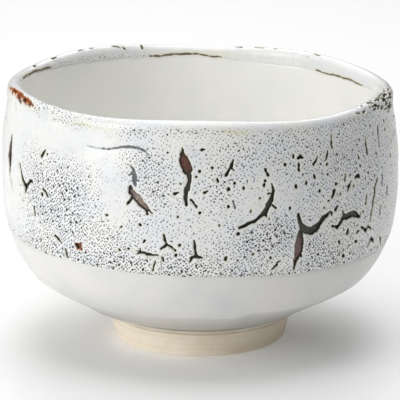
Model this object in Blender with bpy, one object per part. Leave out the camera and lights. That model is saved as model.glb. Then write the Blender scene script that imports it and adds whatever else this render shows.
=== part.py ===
"""Matcha bowl (chawan): a thrown stoneware bowl on a luted-on foot ring, with its fired coats.

The outside wall is dipped in a thick white glaze that crawls over iron slip; the lower belly and
the inside carry smoother white glazes, and the foot ring stays bare clay.

Units are metres, +Z is up. The origin is on the turning axis, on the plane the foot rests on.
Every coat is laid from one meridian, the finished outside-lip-inside line, by its depth under it.
"""
import math

import bmesh
import bpy

# Bowl, finished sizes
BOWL_RADIUS = 0.0610        # widest outside radius
BOWL_HEIGHT = 0.0801        # mean height of the lip's crest
WIDEST_BELOW_LIP = 0.0250   # the widest line lies this far below the crest
LIP_DRAWN_IN = 0.00195      # outside radius lost between the widest line and the lip
LIP_THICKNESS = 0.0051      # across the rounded lip
WALL_THICKNESS = 0.0052     # at the widest line
FLOOR_THICKNESS = 0.0068    # clay and glaze over the foot's recess
FLOOR_FLAT_RADIUS = 0.0140  # level middle of the inside floor
BELLY_RISE_ANGLE = math.radians(14.3)

# Foot ring and the slip bead that seals its seam
FOOT_HEIGHT = 0.0076
FOOT_TOP_RADIUS = 0.0281
FOOT_BOTTOM_RADIUS = 0.0263
FOOT_RING_WIDTH = 0.0062    # at the resting face
FOOT_INSIDE_LEAN = 0.0010   # the recess narrows by this much on its way in
FOOT_EDGE_ROUND = 0.0007
BEAD_SIZE = 0.0010          # width and height of the seam bead

# Fired coats
CRAWLED_THICKNESS = 0.0008
IRON_SLIP_THICKNESS = 0.0003
BELLY_GLAZE_THICKNESS = 0.00115
LINER_THICKNESS = 0.0006
DIP_LINE_HEIGHT = 0.0344    # lower edge of the crawled band, mean
DIP_LINE_TILT = 0.0015      # the band's edge is this much higher at -X than the mean
INSIDE_OVERLAP = 0.0052
COAT_EDGE_ROUND = 0.0008    # length over which a coat's visible edge rolls off

# The hand-made rim: five soft waves and a slight lean, fading out towards the foot
RIM_WAVES = 5
RIM_WAVE_HEIGHT = 0.00055
RIM_LEAN = 0.00096
RIM_WAVE_FADE_START = 0.0200

# Fits and facets
GAP = 0.0003                # clear space kept between neighbouring pieces
SEGMENTS = 40
CURVE_STEPS = 60
LIP_STEPS = 24
SMOOTH_ANGLE = math.radians(40)


def cubic(start, handle_a, handle_b, end, steps):
    """Points along a cubic curve, without its start."""
    points = []
    for i in range(1, steps + 1):
        t = i / steps
        a = (1 - t) ** 3
        b = 3 * (1 - t) ** 2 * t
        c = 3 * (1 - t) * t * t
        d = t ** 3
        points.append(tuple(a * start[k] + b * handle_a[k] + c * handle_b[k] + d * end[k] for k in (0, 1)))
    return points


def finished_line():
    """The finished surface in section, (radius, height): belly start, widest line, lip, floor centre."""
    widest_z = BOWL_HEIGHT - WIDEST_BELOW_LIP
    start = (FOOT_TOP_RADIUS + BEAD_SIZE / 2, FOOT_HEIGHT + GAP + BEAD_SIZE)
    widest = (BOWL_RADIUS, widest_z)
    rise = widest_z - start[1]
    reach = 0.98 * (BOWL_RADIUS - start[0])
    belly_out = (start[0] + reach * math.cos(BELLY_RISE_ANGLE), start[1] + reach * math.sin(BELLY_RISE_ANGLE))
    line = [start]
    line += cubic(start, belly_out, (BOWL_RADIUS, widest_z - 0.45 * rise), widest, CURVE_STEPS)

    lip_half = LIP_THICKNESS / 2
    lip_centre = (BOWL_RADIUS - LIP_DRAWN_IN - lip_half, BOWL_HEIGHT - lip_half)
    upper = lip_centre[1] - widest_z
    lip_outside = (lip_centre[0] + lip_half, lip_centre[1])
    line += cubic(widest, (BOWL_RADIUS, widest_z + 0.6 * upper), (lip_outside[0], lip_centre[1] - 0.35 * upper),
                  lip_outside, CURVE_STEPS // 2)
    for i in range(1, LIP_STEPS + 1):
        angle = math.pi * i / LIP_STEPS
        line.append((lip_centre[0] + lip_half * math.cos(angle), lip_centre[1] + lip_half * math.sin(angle)))

    wall_inside = (BOWL_RADIUS - WALL_THICKNESS, widest_z)
    floor_z = FOOT_HEIGHT + GAP + FLOOR_THICKNESS
    floor_edge = (FLOOR_FLAT_RADIUS, floor_z)
    drop = widest_z - floor_z
    line += cubic(line[-1], (line[-1][0], lip_centre[1] - 0.35 * upper),
                  (wall_inside[0], widest_z + 0.4 * upper), wall_inside, CURVE_STEPS // 2)
    line += cubic(wall_inside, (wall_inside[0], widest_z - 0.62 * drop),
                  (floor_edge[0] + 0.68 * (wall_inside[0] - floor_edge[0]), floor_z), floor_edge, CURVE_STEPS)
    line.append((0.0, floor_z))
    return line


class Meridian:
    """The finished line measured by length, giving any point at a depth under the surface."""

    def __init__(self, line):
        self.line = line
        self.length = [0.0]
        for a, b in zip(line, line[1:]):
            self.length.append(self.length[-1] + math.dist(a, b))
        self.total = self.length[-1]
        lip_index = max(range(len(line)), key=lambda i: line[i][1])
        self.crest = self.length[lip_index]

    def point(self, s, depth=0.0):
        """(radius, height) at length s, moved by depth into the wall."""
        s = min(max(s, 0.0), self.total)
        here, ahead = self._at(s - 1e-5), self._at(s + 1e-5)
        run = math.dist(here, ahead)
        along = ((ahead[0] - here[0]) / run, (ahead[1] - here[1]) / run)
        middle = self._at(s)
        return (max(middle[0] - depth * along[1], 0.0), middle[1] + depth * along[0])

    def _at(self, s):
        s = min(max(s, 0.0), self.total)
        low, high = 0, len(self.length) - 1
        while high - low > 1:
            middle = (low + high) // 2
            if self.length[middle] <= s:
                low = middle
            else:
                high = middle
        t = (s - self.length[low]) / (self.length[high] - self.length[low])
        a, b = self.line[low], self.line[high]
        return (a[0] + t * (b[0] - a[0]), a[1] + t * (b[1] - a[1]))

    def outside_length_at(self, height):
        """Length from the belly start to a height on the outside wall."""
        low, high = 0.0, self.crest
        for _ in range(40):
            middle = (low + high) / 2
            if self._at(middle)[1] < height:
                low = middle
            else:
                high = middle
        return low


MERIDIAN = Meridian(finished_line())
CLAY_DEPTH_OUTSIDE = CRAWLED_THICKNESS + GAP + IRON_SLIP_THICKNESS + GAP
CLAY_DEPTH_INSIDE = LINER_THICKNESS + GAP
INSIDE_EDGE = MERIDIAN.crest + INSIDE_OVERLAP
WIDEST_LENGTH = MERIDIAN.outside_length_at(BOWL_HEIGHT - WIDEST_BELOW_LIP)


def clay_depth(s):
    """How deep the clay lies under the finished line: deeper under the slip than under the liner."""
    blend = min(max((s - INSIDE_EDGE) / (2 * COAT_EDGE_ROUND), 0.0), 1.0)
    return CLAY_DEPTH_OUTSIDE + blend * (CLAY_DEPTH_INSIDE - CLAY_DEPTH_OUTSIDE)


def rim_lift(theta, z):
    """The rim's waves and lean, fading from the lip down to nothing near the foot."""
    t = min(max((z - RIM_WAVE_FADE_START) / (BOWL_HEIGHT - RIM_WAVE_FADE_START), 0.0), 1.0)
    fade = t * t * (3 - 2 * t)
    return fade * (RIM_WAVE_HEIGHT * math.cos(RIM_WAVES * theta) - RIM_LEAN * math.sin(theta))


def dip_line(theta):
    """Length along the meridian to the crawled band's lower edge; theta 0 faces -Y."""
    return MERIDIAN.outside_length_at(DIP_LINE_HEIGHT - DIP_LINE_TILT * math.sin(theta))


def turn(name, section, closed, material):
    """A turned piece: section(theta) gives its (radius, height) points.

    A closed section makes a ring. An open one starts and ends on the axis.
    """
    mesh = bpy.data.meshes.new(name)
    bm = bmesh.new()
    columns = []
    poles = {}
    for k in range(SEGMENTS):
        theta = 2 * math.pi * k / SEGMENTS
        column = []
        for i, (r, z) in enumerate(section(theta)):
            if r < 1e-6:
                if i not in poles:
                    poles[i] = bm.verts.new((0.0, 0.0, z))
                column.append(poles[i])
            else:
                column.append(bm.verts.new((r * math.sin(theta), -r * math.cos(theta), z + rim_lift(theta, z))))
        columns.append(column)
    rows = len(columns[0])
    for k in range(SEGMENTS):
        here, there = columns[k], columns[(k + 1) % SEGMENTS]
        for i in range(rows if closed else rows - 1):
            j = (i + 1) % rows
            corners = []
            for vert in (here[i], here[j], there[j], there[i]):
                if vert not in corners:
                    corners.append(vert)
            bm.faces.new(corners)
    bmesh.ops.recalc_face_normals(bm, faces=bm.faces)
    bm.to_mesh(mesh)
    bm.free()
    mesh.shade_smooth()
    mesh.set_sharp_from_angle(angle=SMOOTH_ANGLE)
    mesh.materials.append(material)
    piece = bpy.data.objects.new(name, mesh)
    bpy.context.scene.collection.objects.link(piece)
    return piece


def spread(start, end, pieces):
    """Lengths from start to end in equal pieces, both ends included."""
    return [start + (end - start) * i / pieces for i in range(pieces + 1)]


def stations(start, end, belly, wall, lip):
    """Lengths from start to end: belly, upper wall and lip each get their own number of pieces."""
    lip_start = MERIDIAN.crest - LIP_THICKNESS
    values = spread(start, WIDEST_LENGTH, belly)
    values += spread(WIDEST_LENGTH, lip_start, wall)[1:]
    values += spread(lip_start, end, lip)[1:]
    return values


def coat(lengths, front_depth, back_depth, round_start, round_end):
    """Closed section of a coat between two depths, its visible edges rolled off where asked."""
    first, last = lengths[0], lengths[-1]
    roll = (back_depth(first) - front_depth) / 2
    front = []
    for s in lengths:
        front.append(MERIDIAN.point(s, front_depth))
    if round_start:
        front[0] = MERIDIAN.point(first, front_depth + roll)
        front.insert(1, MERIDIAN.point(first + COAT_EDGE_ROUND, front_depth))
    if round_end:
        front[-1] = MERIDIAN.point(last, front_depth + roll)
        front.insert(-1, MERIDIAN.point(last - COAT_EDGE_ROUND, front_depth))
    back = [MERIDIAN.point(s, back_depth(s)) for s in reversed(lengths)]
    return front + back


def clay_body_section(theta):
    """Underside seat for the foot ring, then outside wall, lip, inside wall and floor."""
    seat_z = FOOT_HEIGHT + GAP
    seat_radius = FOOT_TOP_RADIUS - BEAD_SIZE / 2 - GAP
    section = [(0.0, seat_z), (seat_radius / 2, seat_z), (seat_radius, seat_z)]
    section.append((seat_radius, seat_z + BEAD_SIZE + GAP))
    lengths = stations(0.0, INSIDE_EDGE, 8, 3, 7)
    section += [MERIDIAN.point(s, clay_depth(s)) for s in lengths]
    inside = spread(INSIDE_EDGE + 2 * COAT_EDGE_ROUND, MERIDIAN.total - FLOOR_FLAT_RADIUS, 12)
    section += [MERIDIAN.point(s, clay_depth(s)) for s in inside]
    section.append((0.0, section[-1][1]))
    return section


def crawled_glaze_section(theta):
    """Thick white band: from the dip line up the outside, over the lip and a little way in."""
    lengths = stations(dip_line(theta), INSIDE_EDGE, 4, 3, 7)
    return coat(lengths, 0.0, lambda s: CRAWLED_THICKNESS, True, True)


def iron_slip_section(theta):
    """Thin iron-brown slip between the crawled glaze and the clay."""
    lengths = stations(dip_line(theta), INSIDE_EDGE, 4, 3, 7)
    return coat(lengths, CRAWLED_THICKNESS + GAP, lambda s: CLAY_DEPTH_OUTSIDE - GAP, False, False)


def belly_glaze_section(theta):
    """Satin white glaze from the seam bead up to the dip line, a little lower than the band."""
    start = GAP + BEAD_SIZE / 2
    lengths = spread(start, dip_line(theta) - GAP, 7)
    front_depth = CLAY_DEPTH_OUTSIDE - GAP - BELLY_GLAZE_THICKNESS
    return coat(lengths, front_depth, lambda s: CLAY_DEPTH_OUTSIDE - GAP, True, False)


def liner_glaze_section(theta):
    """Smooth white glaze over the inside wall and floor, up to the crawled glaze's inner edge."""
    lengths = [INSIDE_EDGE + GAP, INSIDE_EDGE + 2 * COAT_EDGE_ROUND]
    lengths += spread(lengths[-1], MERIDIAN.total - FLOOR_FLAT_RADIUS, 12)[1:]
    front = [MERIDIAN.point(s) for s in lengths]
    back = [MERIDIAN.point(s, clay_depth(s) - GAP) for s in reversed(lengths)]
    return [(0.0, front[-1][1])] + front[::-1] + back[::-1] + [(0.0, back[0][1])]


def foot_ring_section(theta):
    """Bare clay ring, slightly wider at its top, with eased edges on the resting face."""
    inner = FOOT_BOTTOM_RADIUS - FOOT_RING_WIDTH
    ease = FOOT_EDGE_ROUND
    bevel = ease * (1 - math.sqrt(0.5))
    return [
        (inner + ease, 0.0),
        (FOOT_BOTTOM_RADIUS - ease, 0.0),
        (FOOT_BOTTOM_RADIUS - bevel, bevel),
        (FOOT_BOTTOM_RADIUS, ease),
        (FOOT_TOP_RADIUS, FOOT_HEIGHT),
        (inner - FOOT_INSIDE_LEAN, FOOT_HEIGHT),
        (inner, ease),
        (inner + bevel, bevel),
    ]


def luting_bead_section(theta):
    """Small rounded bead of slip in the corner where the foot ring meets the bowl."""
    half = BEAD_SIZE / 2
    points = []
    for i in range(6):
        angle = 2 * math.pi * (i + 0.5) / 6
        points.append((FOOT_TOP_RADIUS + half * math.cos(angle), FOOT_HEIGHT + GAP + half + half * math.sin(angle)))
    return points


def fired_material(name, color, roughness):
    material = bpy.data.materials.new(name)
    material.use_nodes = True
    shader = material.node_tree.nodes["Principled BSDF"]
    shader.inputs["Base Color"].default_value = (*color, 1.0)
    shader.inputs["Roughness"].default_value = roughness
    shader.inputs["Metallic"].default_value = 0.0
    material.diffuse_color = (*color, 1.0)
    return material


def build():
    for old in list(bpy.data.objects):
        bpy.data.objects.remove(old, do_unlink=True)
    turn("clay_body", clay_body_section, False, fired_material("stoneware_clay", (0.56, 0.46, 0.36), 0.80))
    turn("foot_ring", foot_ring_section, True, fired_material("bare_foot_clay", (0.74, 0.64, 0.50), 0.80))
    turn("luting_bead", luting_bead_section, True, fired_material("luting_slip", (0.82, 0.76, 0.66), 0.70))
    turn("iron_slip", iron_slip_section, True, fired_material("iron_brown_slip", (0.10, 0.045, 0.03), 0.45))
    turn("crawled_glaze", crawled_glaze_section, True, fired_material("crawled_white", (0.84, 0.86, 0.87), 0.25))
    turn("belly_glaze", belly_glaze_section, True, fired_material("satin_white", (0.80, 0.79, 0.76), 0.35))
    turn("liner_glaze", liner_glaze_section, False, fired_material("liner_white", (0.80, 0.80, 0.77), 0.20))


build()
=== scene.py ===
"""Looks of a hand-made matcha bowl: crawled white glaze over iron slip, satin belly, bare clay foot.

Lengths in the pottery work are in millimetres and go out in metres. Angles around the bowl are in
degrees from the front (-Y), growing towards +X. A place on the wall is an angle and a height, and a
place near the lip is an angle and a distance from the crest, positive inside.
"""
import math

import bpy
import numpy as np
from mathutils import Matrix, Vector
from mathutils.geometry import delaunay_2d_cdt


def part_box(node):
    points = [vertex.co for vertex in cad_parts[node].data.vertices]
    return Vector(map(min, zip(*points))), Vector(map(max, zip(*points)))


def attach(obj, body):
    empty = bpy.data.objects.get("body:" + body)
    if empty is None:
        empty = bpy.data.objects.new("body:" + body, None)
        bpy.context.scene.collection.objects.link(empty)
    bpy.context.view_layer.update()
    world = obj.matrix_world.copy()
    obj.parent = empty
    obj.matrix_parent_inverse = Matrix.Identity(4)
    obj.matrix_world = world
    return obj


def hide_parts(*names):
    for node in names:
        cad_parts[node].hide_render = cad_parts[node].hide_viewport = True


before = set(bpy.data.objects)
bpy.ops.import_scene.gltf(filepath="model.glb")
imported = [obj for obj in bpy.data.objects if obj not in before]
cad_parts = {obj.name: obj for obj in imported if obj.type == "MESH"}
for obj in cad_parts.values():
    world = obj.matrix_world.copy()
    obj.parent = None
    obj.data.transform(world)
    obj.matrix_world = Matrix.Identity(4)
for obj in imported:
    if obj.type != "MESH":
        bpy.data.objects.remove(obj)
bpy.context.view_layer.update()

MM = 0.001

# ---------------------------------------------------------------- the section, from the frame
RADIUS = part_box("crawled_glaze")[1].x / MM
FOOT_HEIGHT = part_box("foot_ring")[1].z / MM
FOOT_TOP_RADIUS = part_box("foot_ring")[1].x / MM
BEAD_LOW, BEAD_HIGH = (corner.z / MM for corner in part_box("luting_bead"))
FOOT_BOTTOM_RADIUS = 26.3
FOOT_RING_WIDTH = 6.2
LINER_THICKNESS = 0.6
FLOOR_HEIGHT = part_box("liner_glaze")[0].z / MM + LINER_THICKNESS
FLOOR_FLAT_RADIUS = 14.0
FLOOR_HANDLES = (9.0, 5.0)
WIDEST_BELOW_LIP = 25.0
LIP_DRAWN_IN = 1.95
LIP_THICKNESS = 5.1
WALL_THICKNESS = 5.2
BELLY_RISE_ANGLE = math.radians(14.3)
RIM_WAVES = 5
RIM_WAVE_HEIGHT = 0.55
RIM_LEAN = 0.96
RIM_WAVE_FADE_START = 20.0
DIP_LINE_HEIGHT = 34.4
DIP_LINE_TILT = 1.5
# How far the curves' handles reach, as shares of the stretch that they shape.
BELLY_REACH, BELLY_FALL = 0.98, 0.45
WALL_RISE, LIP_FALL, INSIDE_RISE = 0.6, 0.35, 0.4
HOLLOW_FALL, HOLLOW_REACH = 0.62, 0.68
LONG_CURVE, SHORT_CURVE, LIP_TURN, FLOOR_STEPS = 240, 120, 96, 40     # points along each

# ---------------------------------------------------------------- the coats, as depths under it
BELLY_DEPTH = 0.25          # the belly glaze lies this much lower than the crawled band
GLAZE_THICKNESS = 0.80      # the crawled coat, down to the slip that its cracks bare
SLIP_DEPTH = 0.84
INSIDE_OVERLAP = 5.2        # mean reach of the crawled coat inside the lip
DEEPEST_REACH = 7.1


def ring(theta, radius, height):
    """Points in metres at angles (radians), radius and height in mm."""
    return np.stack([radius * np.sin(theta), -radius * np.cos(theta), height + 0 * theta], -1) * MM


def rim_wave(theta):
    """Height that the rim gains at an angle in radians."""
    return RIM_WAVE_HEIGHT * np.cos(RIM_WAVES * theta) - RIM_LEAN * np.sin(theta)


RIM_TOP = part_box("crawled_glaze")[1].z / MM
CREST_HEIGHT = RIM_TOP - float(rim_wave(np.radians(np.arange(-180, 180, 9.0))).max())


def cubic(start, handle_a, handle_b, end, steps):
    """Points along a cubic curve, without its start."""
    t = (np.arange(steps) + 1)[:, None] / steps
    start, handle_a, handle_b, end = (np.array(p) for p in (start, handle_a, handle_b, end))
    return ((1 - t) ** 3 * start + 3 * (1 - t) ** 2 * t * handle_a + 3 * (1 - t) * t * t * handle_b
            + t ** 3 * end)


def finished_line():
    """The glazed surface in section, (radius, height): belly start, widest line, lip, floor centre."""
    widest_z = CREST_HEIGHT - WIDEST_BELOW_LIP
    start = (FOOT_TOP_RADIUS + (BEAD_HIGH - BEAD_LOW) / 2, BEAD_HIGH)
    widest = (RADIUS, widest_z)
    rise = widest_z - start[1]
    reach = BELLY_REACH * (RADIUS - start[0])
    belly_out = (start[0] + reach * math.cos(BELLY_RISE_ANGLE),
                 start[1] + reach * math.sin(BELLY_RISE_ANGLE))
    belly = cubic(start, belly_out, (RADIUS, widest_z - BELLY_FALL * rise), widest, LONG_CURVE)
    half = LIP_THICKNESS / 2
    lip_r, lip_z = RADIUS - LIP_DRAWN_IN - half, CREST_HEIGHT - half
    upper = lip_z - widest_z
    wall = cubic(widest, (RADIUS, widest_z + WALL_RISE * upper), (lip_r + half, lip_z - LIP_FALL * upper),
                 (lip_r + half, lip_z), SHORT_CURVE)
    turn = np.pi * (np.arange(LIP_TURN) + 1) / LIP_TURN
    lip = np.stack([lip_r + half * np.cos(turn), lip_z + half * np.sin(turn)], 1)
    inside_r = RADIUS - WALL_THICKNESS
    inside = cubic(lip[-1], (lip[-1][0], lip_z - LIP_FALL * upper),
                   (inside_r, widest_z + INSIDE_RISE * upper), (inside_r, widest_z), SHORT_CURVE)
    drop = widest_z - FLOOR_HEIGHT
    hollow = cubic((inside_r, widest_z), (inside_r, widest_z - HOLLOW_FALL * drop),
                   (FLOOR_FLAT_RADIUS + HOLLOW_REACH * (inside_r - FLOOR_FLAT_RADIUS), FLOOR_HEIGHT),
                   (FLOOR_FLAT_RADIUS, FLOOR_HEIGHT), LONG_CURVE)
    floor = cubic((FLOOR_FLAT_RADIUS, FLOOR_HEIGHT), (FLOOR_HANDLES[0], FLOOR_HEIGHT),
                  (FLOOR_HANDLES[1], FLOOR_HEIGHT), (0.0, FLOOR_HEIGHT), FLOOR_STEPS)
    return np.concatenate([[start], belly, wall, lip, inside, hollow, floor])


LINE = finished_line()
LENGTH = np.concatenate([[0.0], np.cumsum(np.hypot(*np.diff(LINE, axis=0).T))])
ALONG = np.gradient(LINE, axis=0)
ALONG = ALONG / np.hypot(ALONG[:, 0], ALONG[:, 1])[:, None]
CREST = LENGTH[LINE[:, 1].argmax()]
TOTAL = LENGTH[-1]
OUTSIDE = LENGTH <= CREST


def length_at(height):
    """Length along the section from the belly's start to a height on the outside wall."""
    return np.interp(height, LINE[OUTSIDE, 1], LENGTH[OUTSIDE])


# Slow unevenness of the thrown wall: (height in mm, waves round the bowl, turn with height, phase).
UNEVEN = [(.10, 2, 0, .8), (.09, 3, -1.1, 0), (.05, 7, 2.3, 0)]
UNEVEN_MEAN = -0.12
UNEVEN_PITCH = 30.0                # section length over which the waves turn
UNEVEN_FADE_IN, UNEVEN_FADE_OUT = 12.0, 30.0


def hand_thrown(theta, s):
    """Unevenness in mm outwards, the same for every coat; it fades at the foot and on the floor."""
    height = s / UNEVEN_PITCH
    out = sum(tall * np.sin(waves * theta + turn * height + phase) for tall, waves, turn, phase in UNEVEN)
    out = (out + UNEVEN_MEAN) * np.clip((TOTAL - s) / UNEVEN_FADE_OUT, 0, 1)
    return out * np.clip(s / UNEVEN_FADE_IN, 0, 1)


def place(theta, s, depth):
    """Points in metres at angle theta (radians) and section length s, depth mm under the surface."""
    sunk = depth - hand_thrown(theta, s)
    r = np.interp(s, LENGTH, LINE[:, 0]) - sunk * np.interp(s, LENGTH, ALONG[:, 1])
    z = np.interp(s, LENGTH, LINE[:, 1]) + sunk * np.interp(s, LENGTH, ALONG[:, 0])
    t = np.clip((z - RIM_WAVE_FADE_START) / (CREST_HEIGHT - RIM_WAVE_FADE_START), 0, 1)
    z = z + t * t * (3 - 2 * t) * rim_wave(theta)
    return ring(theta, np.maximum(r, 0), z)


# ---------------------------------------------------------------- crawling: where the glaze opened
# Each crack is a run of (angle, height, width). The glaze has pulled back to that width there.
CRACKS = [
    [(-69.7, 67, .3), (-70.2, 64, 1.4), (-70.4, 60.5, 2.3), (-70.2, 57.5, 1.3), (-70, 54.6, .3)],
    [(-69.3, 54, .3), (-68.6, 52.4, .4), (-68, 50.8, .2)],
    [(-62.2, 60, .3), (-61, 57.4, .5), (-60.2, 55.6, .8), (-58.3, 54.0, .9), (-58.8, 52, .3)],
    [(-58.3, 54.0, .6), (-55.8, 56.6, .5), (-54.6, 56.5, .3)], [(-49.2, 67.3, .3), (-50.6, 65.2, .5)],
    [(-49.5, 55.6, .3), (-48.3, 55.0, .5), (-47.5, 53.9, .3)], [(-54, 49.3, .3), (-53.7, 46.7, .4)],
    [(-45, 42.5, .5), (-43.6, 41.5, .6), (-42.6, 40.8, .3)], [(-41.3, 39.0, .3), (-41, 36.5, .5)],
    [(-37.1, 41.5, .5), (-36.1, 41.1, 1.1), (-35.4, 40.3, .4)], [(-36.1, 41.1, .8), (-35.2, 42.0, .35)],
    [(-36.1, 41.1, .7), (-36.7, 40.1, .3)],
    [(-19.4, 61.0, .7), (-18.9, 59.6, 1.5), (-17.3, 58.0, 1.9), (-15.9, 56.2, 1.6), (-14.7, 55.0, .9),
     (-13.8, 54.3, .5), (-12.9, 53.4, .3)],
    [(-18.5, 58.6, .7), (-19.2, 57.2, .5), (-20.1, 55.9, .35)], [(-15.0, 55.2, .6), (-14.4, 53.3, .35)],
    [(-4.9, 72.8, .2), (-4.8, 71.2, 1.1), (-4.5, 69.6, 2.2), (-4.0, 68, 2.8), (-3.4, 66.4, 2.4),
     (-3.0, 65, 1.3), (-2.9, 63.4, .9), (-3.2, 61.6, 1.2), (-3.7, 60, 1.1), (-3.9, 58.2, .8),
     (-3.6, 56.2, .25)],
    [(-6.9, 59.5, .5), (-5.7, 60.0, .4)],
    [(-2.4, 57.8, .4), (-1.8, 57.2, .6), (-1.5, 56.6, .4), (-1.0, 55.9, .6)],
    [(.6, 72.2, .5), (1.5, 72.3, .3)], [(1.4, 60.0, .5), (2.0, 60.3, .4)],
    [(9.2, 69.5, .25), (8.5, 67.3, .6), (7.8, 66.2, .5), (7.1, 65.1, .7)],
    [(8.5, 67.2, .4), (9.4, 66.4, .3)],
    [(-1.5, 45.6, .4), (-1.3, 43.1, .5), (-1.0, 41.1, .9), (-2.2, 40.6, .5), (-2.8, 39.3, .3)],
    [(-1.0, 41.0, .6), (.8, 40.5, .3)],
    [(-10, 47.4, .3), (-9.5, 45.5, .45), (-9.1, 44.5, .6), (-8, 43.8, .5), (-6.7, 42.6, .3)],
    [(-9.2, 44.4, .5), (-10.8, 43.0, .3)],
    [(-17.7, 40.9, .3), (-16.5, 41.8, .4), (-14.7, 41.3, .5), (-13, 41.1, .4), (-11.5, 41.1, .3)],
    [(-18, 42.2, .3), (-16.6, 41.8, .4), (-16.7, 42.8, .25)],
    [(-11, 40.9, .3), (-10.4, 40.3, .5), (-10.1, 39.3, .3)],
    [(-12.4, 39.4, .4), (-12.9, 37.7, .4), (-13.3, 36.2, .3)],
    [(20.0, 62.4, .3), (20.4, 60.4, .6), (20.1, 58.6, .9), (19.5, 57, 1.1), (18.7, 55.4, 1.4),
     (18, 54, 1.2), (17.1, 53.1, .7), (16, 52.1, .7), (14.5, 51.2, .8), (13.2, 50.8, .5), (12.3, 50.1, .7),
     (10.8, 49.6, .5)],
    [(20.1, 59.6, .4), (18.9, 59.5, .3)], [(19.8, 56.3, .5), (21.1, 55.2, .35)],
    [(18, 54, .5), (18.5, 52.6, .3)], [(18.2, 66.7, .4), (18.9, 64.9, .6)],
    [(20.7, 36.2, .3), (21.9, 37.1, .5), (22.3, 38.2, .3), (23, 38.5, .25)],
    [(28.0, 52.6, .5), (28.5, 50.2, 1.1), (29.3, 48.6, 1.4), (30.3, 47.5, 1.5), (32.0, 46.9, 2.1),
     (33.8, 47.4, 1.9), (35, 48.8, 1.4), (36.3, 50.2, 1.2), (37.8, 51.2, .7), (39.0, 51.9, .3)],
    [(29.5, 48.3, .9), (28.7, 46.2, 1.7), (28.6, 43.6, 2.3), (28.5, 41.2, 2.2), (28.1, 39.4, 1.5),
     (27.8, 37.6, .9), (27.5, 35.4, .35)],
    [(28.8, 40.2, .9), (29.5, 39.2, .4)],
    [(50.9, 47.7, .5), (49.6, 48.4, 1.0), (48.2, 49.1, 1.4), (46.6, 49.3, 1.1), (45.2, 48.9, 1.4),
     (44.2, 49.2, 1.1), (43.3, 48.5, .9), (42.5, 47.2, .8), (41.7, 46.4, .6), (40.6, 46.8, .4),
     (39.6, 47.1, .4)],
    [(44.0, 49.3, .5), (43.5, 51.0, .25)],
    [(52, 44.1, .3), (53.6, 43.2, .4), (54.8, 42.2, .5), (55.6, 43.6, .3), (57.4, 42.3, .4)],
    [(57.2, 36.6, .4), (58.5, 39.2, .5), (60.6, 37.2, .45)],
    [(65.0, 37.6, .35), (66.5, 36.0, .5), (67.4, 34.6, .4)], [(44.8, 62.3, .25), (44.4, 60.4, .5)],
    [(46.9, 59.6, .3), (45.9, 58.2, .5), (45.4, 56.8, .4)],
    [(48.9, 60.4, .4), (50.2, 60.9, .5), (50.8, 59.9, .3)], [(50.6, 67.0, .3), (50.9, 65.8, .5)],
    [(40.5, 75.1, .25), (40.3, 72.5, .5), (40.5, 70.9, .3)],
    [(38.7, 70.4, .25), (38.2, 69, .4), (37.7, 67.7, .3)],
    [(34.9, 69.1, .25), (34.1, 68.0, .6), (33.3, 67.2, .5)],
    [(55.2, 71.3, .25), (55.0, 69, .45), (55.2, 66, .3)],
    [(63.2, 72.8, .25), (62.5, 69.6, .5), (62.3, 66.5, .3)],
    [(60, 57.4, .3), (58.6, 54.7, .6), (58.7, 53.2, .4), (58, 51.5, .5), (57.4, 48.6, .5), (56.5, 45, .25)],
    [(54.2, 53.9, .3), (53.8, 51, .4)], [(40.2, 58.1, .7), (39.4, 56.2, .5)],
    [(42.7, 57.4, .3), (42.4, 56.4, .4)], [(41.4, 53.0, .4), (40.6, 52.0, .6)],
    [(28.5, 67.8, .4), (28.4, 65.9, .5)], [(28.2, 69.4, .5), (29.1, 69.9, .6), (29.9, 69.5, .4)],
    [(46, 44.6, .5), (45.6, 43.6, .4)],
]
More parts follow.
